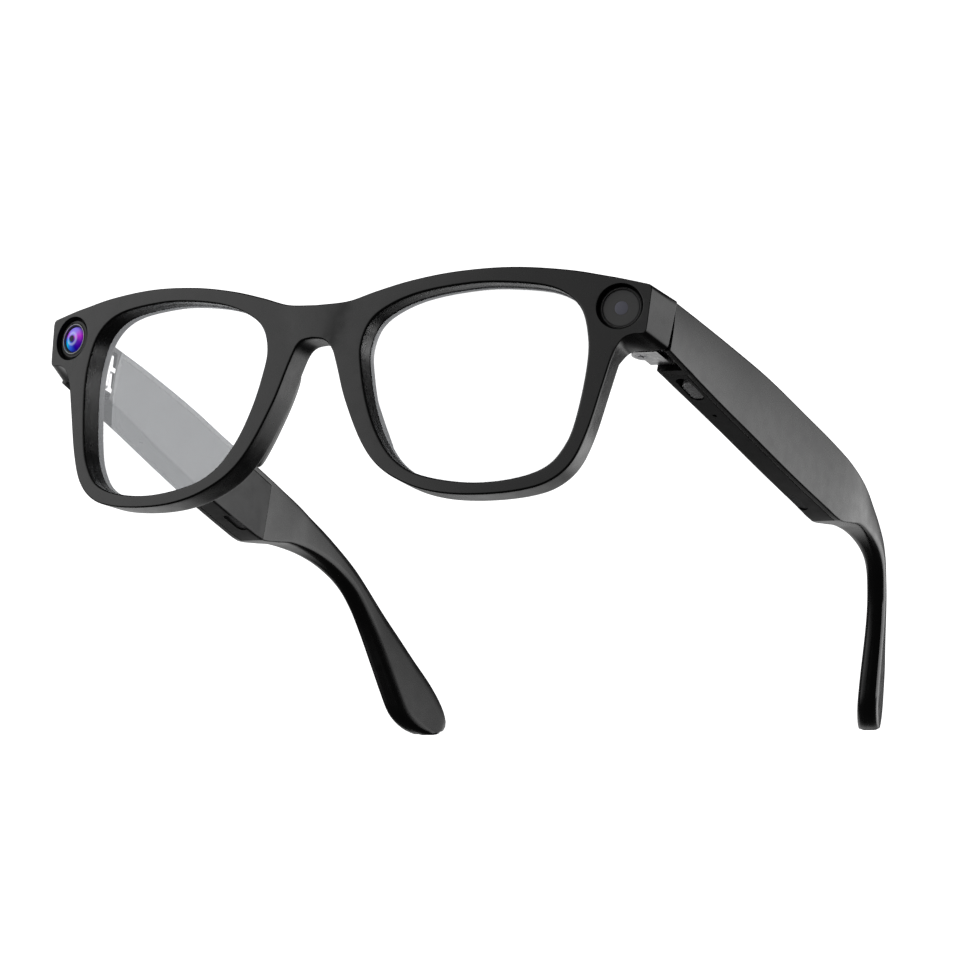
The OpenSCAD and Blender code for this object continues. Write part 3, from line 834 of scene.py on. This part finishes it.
def tip_stations(start, count):
    """Sections from the body's end round the bend to the end of the tip."""
    top_start, low_start = body_station(start)
    top_index = next(i for i, p in enumerate(TOP_CURVE) if p[0] > top_start[0])
    low_index = next(i for i, p in enumerate(LOW_CURVE) if p[0] > low_start[0])
    top = resample([top_start] + TOP_CURVE[top_index:], count)
    low = resample([low_start] + LOW_CURVE[low_index:], count)
    return list(zip(top, low))[1:]


def rounded(corners, steps=4):
    """A closed polygon with its (a, b, radius) corners rounded and its sides split evenly."""
    bends = []
    for i, (a, b, radius) in enumerate(corners):
        here = Vector((a, b))
        before = Vector(corners[i - 1][:2])
        after = Vector(corners[(i + 1) % len(corners)][:2])
        start = here + (before - here).normalized() * radius
        end = here + (after - here).normalized() * radius
        turn = (k / steps for k in range(steps + 1))
        bends.append([start * (1 - t) ** 2 + here * 2 * t * (1 - t) + end * t * t for t in turn])
    out = []
    for bend, following in zip(bends, bends[1:] + bends[:1]):
        out += bend + [bend[-1].lerp(following[0], k / SIDE_SPLITS) for k in range(1, SIDE_SPLITS)]
    return out


def section(top, low, corners_of):
    """One section of a temple; corners_of(width, height) measures its corners from the inner top.

    The faces' upper edges are drawn in, so that both faces are crowned.
    """
    top, low = Vector(top), Vector(low)
    height = (low - top).length
    inner = edge_x(INNER_CURVE, *top), edge_x(INNER_CURVE, *low)
    outer = edge_x(OUTER_CURVE, *top), edge_x(OUTER_CURVE, *low)
    width = (outer[0] + outer[1] - inner[0] - inner[1]) / 2
    points = []
    for a, b in rounded(corners_of(width, height)):
        across, down = a / width, b / height
        yz = top.lerp(low, down)
        x_in = inner[0] + (inner[1] - inner[0]) * down
        x_out = outer[0] + (outer[1] - outer[0]) * down
        crown = (1 - down) ** 2 * (INNER_CROWN * (1 - across) - OUTER_CROWN * across)
        points.append(Vector((x_in + (x_out - x_in) * across + crown, yz.x, yz.y)))
    return points


def whole(radius, shrink=0):
    """Corners of a full section."""
    def corners(width, height):
        r = min(radius, 0.48 * (width - 2 * shrink), 0.48 * (height - 2 * shrink))
        right, low = width - shrink, height - shrink
        return [(shrink, shrink, r), (right, shrink, r), (right, low, r), (width / 2, low, 0.05),
                (shrink, low, r), (shrink, height / 2, 0.05)]
    return corners


def angle_shape(wall_top):
    """Corners of the outer wall and the roof, open inwards and downwards."""
    def corners(width, height):
        return [(0, 0, 0.45), (width, 0, 0.5), (width, height, 0.35), (width - WALL, height, 0.12),
                (width - WALL, wall_top, 0.1), (0, wall_top, 0.12)]
    return corners


def cover_shape(width, height):
    """Corners of the cover, which fills the angle."""
    gap = 0.07
    return [(0, WALL + gap, 0.14), (width - WALL - gap, WALL + gap, 0.05), (width - WALL - gap, height, 0.14),
            (0, height, 0.55)]


def rounded_end(end, radius):
    """Shrinking sections that round off the tip; end is its last (top, low) pair."""
    top, low = Vector(end[0]), Vector(end[1])
    ahead = Vector((top.y - low.y, low.x - top.x)).normalized()
    rows = []
    for k in range(END_STEPS + 1):
        a = pi / 2 * k / END_STEPS
        move = ahead * END_LENGTH * (sin(a) - 1)
        rows.append(section(top + move, low + move, whole(radius, END_SHRINK * (1 - cos(a)))))
    return rows


def stadium(length, width, steps=12):
    """A slot's outline along +Y, with round ends."""
    reach = (length - width) / 2
    return [(width / 2 * cos(a), end * reach + width / 2 * sin(a))
            for end, first in ((1, 0), (-1, pi)) for a in (first + pi * k / steps for k in range(steps + 1))]


def plug(frame_matrix, length, width, low, high):
    """A stadium-shaped plug between two heights."""
    mesh = Mesh()
    mesh.tube([[frame_matrix @ Vector((*p, z)) for p in stadium(length, width)] for z in (low, high)])
    return mesh


# The underside of the temple's body: a place on it, its fall and its tilt.
UNDER_Y, UNDER_Z, UNDER_FALL, UNDER_TILT = 34, -13.3, 0.235, radians(-13.3)


def in_temple(y, up, x=0.0):
    """A frame inside the temple whose +Y runs along it and whose origin is at a height over its underside."""
    height = UNDER_Z - UNDER_FALL * (y - UNDER_Y) + up
    return Matrix.Translation((x, y, height)) @ Matrix.Rotation(UNDER_TILT, 4, "X")


ROOF_FRAME = Matrix.Translation((72.1, 46, -2.15)) @ Matrix.Rotation(radians(-8), 4, "X")
CAP_L, CAP_W, CAP_GAP = 9.9, 2.9, 0.11
SLOT_L, SLOT_W, SLIDE_TRAVEL, KNOB_GAP = 9.4, 3.2, 2.6, 0.15
SLOT_FRAME = in_temple(32.8, 0, 71.5)
SPEAKER_FRAME, MICROPHONE_FRAME = in_temple(84, 2.1, 71.3), in_temple(44, 0, 71.6)
CHARGE_FRAME, CHARGE_L, CHARGE_H = in_temple(62, 8.4), 12, 5.2
BODY_STEP = 2.5
COVER_GAP = 0.08


def body_range(start, end):
    """Evenly spaced places along the temple's body."""
    count = max(2, round((end - start) / BODY_STEP) + 1)
    return [start + (end - start) * k / (count - 1) for k in range(count)]


def body_sections(places, corners_of):
    """Sections of the temple's body at places along it."""
    return [section(*body_station(y), corners_of) for y in places]


def build_temple(side):
    """A temple's shell with its tip, and the inner cover."""
    name = "left" if side > 0 else "right"
    body = f"temple_{name}"
    stations = tip_stations(BAY_END, TIP_STATIONS)
    rows = body_sections([*SHELL_START, *body_range(HINGE_START, HINGE_END)], angle_shape(HINGE_WALL))
    rows += body_sections((HINGE_END, BAY_START), whole(EDGE))
    rows += body_sections(body_range(BAY_START, BAY_END), angle_shape(WALL))
    rows += body_sections((BAY_END,), whole(EDGE))
    for k, (top, low) in enumerate(stations[:-1]):
        rows.append(section(top, low, whole(EDGE + TIP_ROUND * min(1, k / TIP_EASE))))
    rows += rounded_end(stations[-1], EDGE + TIP_ROUND)
    mesh = Mesh()
    mesh.tube(rows)
    shell = mesh.finish(f"temple_body_{name}", body, TEMPLE_PLASTIC,
                        (f"temple_shell_{name}",), side)

    mesh = Mesh()
    mesh.tube(body_sections(body_range(BAY_START + COVER_GAP, BAY_END - COVER_GAP), cover_shape))
    cover = mesh.finish(f"inner_cover_{name}", body, COVER_PLASTIC,
                        (f"temple_cover_{name}",), side)
    return shell, cover


def carve_controls(shells, covers):
    """Openings for the switch, the button, the speakers, the microphones and the charging pad."""
    for side, cover in covers.items():
        cut(cover, plug(SPEAKER_FRAME, 8, 2.4, -4, 3), side)
        cut(cover, plug(MICROPHONE_FRAME, 1.02, 1.0, -3, 3), side)
    cut(covers[1], plug(SLOT_FRAME, SLOT_L, SLOT_W, -1.5, 2.2), 1)
    pad = Mesh()
    corners = [(y * CHARGE_L / 2, z * CHARGE_H / 2) for y, z in ((-1, -1), (1, -1), (1, 1), (-1, 1))]
    pad.tube([[CHARGE_FRAME @ Vector((x, y, z)) for y, z in corners] for x in (66, 70.2)])
    cut(covers[1], pad, 1)
    cut(shells[-1], plug(ROOF_FRAME, CAP_L + 2 * CAP_GAP, CAP_W + 2 * CAP_GAP, -WALL - 0.3, 2), -1)


RIDGE_PITCH, RIDGE_H = 1.05, 0.34
KNOB_OUT, KNOB_IN, KNOB_ROUND, KNOB_STEPS = -0.5, 1.3, 0.22, 84


def build_switch_knob():
    """A ribbed metal knob at the back of its slot."""
    length, width = SLOT_L - SLIDE_TRAVEL - 2 * KNOB_GAP, SLOT_W - 2 * KNOB_GAP
    frame_matrix = SLOT_FRAME @ Matrix.Translation((0, (SLOT_L - length) / 2 - KNOB_GAP, 0))
    rows = []
    for k in range(KNOB_STEPS + 1):
        y = -length / 2 + length * k / KNOB_STEPS
        beyond = max(0, abs(y) - (length - width) / 2)
        half = max(0.04, (max(0, (width / 2) ** 2 - beyond ** 2)) ** 0.5)
        ridge = 0.5 - 0.5 * cos(2 * pi * y / RIDGE_PITCH + pi)
        low = KNOB_OUT + RIDGE_H * ridge ** 1.6
        edge = min(KNOB_ROUND, half * 0.5)
        left = [(-half, KNOB_IN), (-half, low + edge), (-half + edge * 0.3, low + edge * 0.3),
                (-half + edge, low)]
        around = left + [(-x, z) for x, z in reversed(left)]
        rows.append([frame_matrix @ Vector((x, y, z)) for x, z in around])
    mesh = Mesh()
    mesh.tube(rows)
    mesh.finish("slide_knob", "slide_switch", KNOB_STEEL, ("slide_switch",), sharp=50)


def build_button_cap():
    """A pill-shaped cap that stands a little out of the temple's top."""
    profile = ((0, -1.85), (0, 0.1), (-0.06, 0.28), (-0.2, 0.4), (-0.45, 0.45), (-0.9, 0.42))
    mesh = Mesh()
    mesh.tube([[ROOF_FRAME @ Vector((x, y, z)) for x, y in stadium(CAP_L + 2 * grow, CAP_W + 2 * grow)]
               for grow, z in profile])
    mesh.finish("capture_cap", "capture_button", COVER_PLASTIC, ("capture_button",), -1)


# ---- Pieces kept from the CAD model -------------------------------------------------------------

def dress(nodes, material, edge=0.0):
    """Gives CAD nodes a material and, where they show, softened edges."""
    for node in nodes:
        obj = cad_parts[node]
        obj.data.materials.clear()
        obj.data.materials.append(material)
        if edge:
            bevel = obj.modifiers.new("soft_edges", "BEVEL")
            bevel.width = edge * MM
            bevel.segments = 2
            bevel.limit_method = "ANGLE"
            bevel.angle_limit = radians(40)
            bevel.harden_normals = True


def both(*names):
    """The left and right nodes of each name."""
    return [f"{name}_{side}" for name in names for side in ("left", "right")]


def dress_kept_nodes():
    """Materials for the nodes that stay as they are in the CAD model."""
    dress(both("lens"), LENS)
    dress(both("front_leaf", "temple_leaf"), STEEL, 0.12)
    dress(both("hinge_screw", "leaf_screws") + ["front_leaf_screws"], SCREW_STEEL)
    dress(both("core_wire"), CORE_STEEL)
    dress(both("battery"), BATTERY_FOIL)
    dress(["main_board", "touch_board", "camera_board", "indicator_board"], BOARD)
    dress(["front_flex"], POLYIMIDE)
    dress(both("speaker"), SPEAKER_PLASTIC)
    dress(both("speaker_mesh"), MESH_METAL)
    dress(both("microphone") + ["charge_contacts"], GOLD)
    dress(["switch_body", "button_switch"], SWITCH_STEEL)
    dress(["charge_pad"], COVER_PLASTIC, 0.1)


# ---- Camera, floor and light --------------------------------------------------------------------

def build_camera_view():
    """A long lens in front of the glasses, to the wearer's left and a little below them."""
    where = Vector((575.41, -873.20, -261.94))
    right = Vector((0.86034, 0.50231, 0.08665))
    up = Vector((0.03460, -0.22716, 0.97324))
    turn = STANDING.to_3x3()
    right, up = turn @ right.normalized(), turn @ up.normalized()
    back = right.cross(up).normalized()
    up = back.cross(right)
    data = bpy.data.cameras.new("view")
    data.sensor_width = 36
    data.lens = 195
    data.clip_start, data.clip_end = 0.01, 50
    camera = put("view", data)
    place_at = Matrix((right, up, back)).transposed().to_4x4()
    place_at.translation = place(where)
    camera.matrix_world = place_at
    bpy.context.scene.camera = camera


FLOOR_REACH = 3.0


def build_floor():
    """A pale table top that is seen and shaded only from above."""
    mesh = bpy.data.meshes.new("floor")
    corners = [(x * FLOOR_REACH, y * FLOOR_REACH, 0) for x, y in ((-1, -1), (1, -1), (1, 1), (-1, 1))]
    mesh.from_pydata(corners, [], [(0, 1, 2, 3)])
    floor = put("floor", mesh)
    material, tree, shader = new_material("pale_floor")
    shader.inputs["Base Color"].default_value = (0.82, 0.82, 0.82, 1)
    shader.inputs["Roughness"].default_value = 0.9
    shader.inputs["Specular IOR Level"].default_value = 0
    open_side = tree.nodes.new("ShaderNodeBsdfTransparent")
    choose = tree.nodes.new("ShaderNodeMixShader")
    under = tree.nodes.new("ShaderNodeNewGeometry").outputs["Backfacing"]
    tree.links.new(under, choose.inputs["Fac"])
    tree.links.new(shader.outputs["BSDF"], choose.inputs[1])
    tree.links.new(open_side.outputs["BSDF"], choose.inputs[2])
    tree.links.new(choose.outputs["Shader"], tree.nodes["Material Output"].inputs["Surface"])
    mesh.materials.append(material)
    floor.visible_glossy = False
    floor.visible_diffuse = False


def softbox(tree, way, azimuth, half, low, high, soft, strength):
    """A patch of light in the surroundings, between two heights, with soft edges; angles in degrees."""
    level = tree.nodes.new("ShaderNodeVectorMath")
    level.operation = "MULTIPLY"
    level.inputs[1].default_value = (1, 1, 0)
    tree.links.new(way, level.inputs[0])
    unit = tree.nodes.new("ShaderNodeVectorMath")
    unit.operation = "NORMALIZE"
    tree.links.new(level.outputs[0], unit.inputs[0])
    dot = tree.nodes.new("ShaderNodeVectorMath")
    dot.operation = "DOT_PRODUCT"
    tree.links.new(unit.outputs[0], dot.inputs[0])
    turn = radians(azimuth)
    dot.inputs[1].default_value = (cos(turn), sin(turn), 0)
    height = tree.nodes.new("ShaderNodeSeparateXYZ")
    tree.links.new(way, height.inputs["Vector"])
    far, near = cos(radians(half + soft)), cos(radians(half))
    round_about = spread_to(tree, dot.outputs["Value"], 0, strength, far, near)
    above = spread_to(tree, height.outputs["Z"], 0, 1, sin(radians(low - soft)), sin(radians(low)))
    below = spread_to(tree, height.outputs["Z"], 1, 0, sin(radians(high)), sin(radians(high + soft)))
    return combined(tree, "MULTIPLY", round_about, above, below)


# Azimuth, half width, lowest, highest, softness, strength.
SOFTBOXES = (
    (-140, 26, -18, 36, 9, 0.65),
    (-122, 40, -18, 36, 12, 0.6),
    (47, 34, -6, 20, 12, 2.0),
    (122, 26, -17, 6, 10, 0.6),
    (-90, 120, -85, -72, 10, 0.3),
    (90, 120, 60, 85, 16, 0.3),
)


ROOM_LIGHT = 0.04
BACKDROP_LIGHT = 1.3


def build_world():
    """White all round for the camera; for the object, soft boxes in a dim room."""
    world = bpy.data.worlds.new("studio")
    bpy.context.scene.world = world
    world.use_nodes = True
    tree = world.node_tree
    way = tree.nodes.new("ShaderNodeTexCoord").outputs["Generated"]
    boxes = [softbox(tree, way, *box) for box in SOFTBOXES]
    light = tree.nodes["Background"]
    tree.links.new(combined(tree, "ADD", *boxes, ROOM_LIGHT), light.inputs["Strength"])
    light.inputs["Color"].default_value = (1, 1, 1, 1)
    white = tree.nodes.new("ShaderNodeBackground")
    white.inputs["Color"].default_value = (1, 1, 1, 1)
    white.inputs["Strength"].default_value = BACKDROP_LIGHT
    seen = tree.nodes.new("ShaderNodeLightPath").outputs["Is Camera Ray"]
    choose = tree.nodes.new("ShaderNodeMixShader")
    tree.links.new(seen, choose.inputs["Fac"])
    tree.links.new(light.outputs["Background"], choose.inputs[1])
    tree.links.new(white.outputs["Background"], choose.inputs[2])
    tree.links.new(choose.outputs["Shader"], tree.nodes["World Output"].inputs["Surface"])


def build_overhead():
    """A large soft lamp over the table."""
    data = bpy.data.lights.new("overhead", "AREA")
    data.shape = "DISK"
    data.size = 1.0
    data.energy = 16
    lamp = put("overhead", data)
    lamp.location = (0.1, 0.35, 1.2)
    lamp.rotation_euler = (radians(-16), 0, 0)
    lamp.visible_glossy = False


# ---- The whole scene ----------------------------------------------------------------------------

build_camera_view()
build_floor()
build_world()
build_overhead()
bpy.context.scene.view_settings.view_transform = "Standard"

build_front()
build_camera()
build_indicator()
SHELLS, COVERS = {}, {}
for SIDE in (1, -1):
    build_nose_pad(SIDE)
    SHELLS[SIDE], COVERS[SIDE] = build_temple(SIDE)
carve_controls(SHELLS, COVERS)
build_switch_knob()
build_button_cap()
dress_kept_nodes()
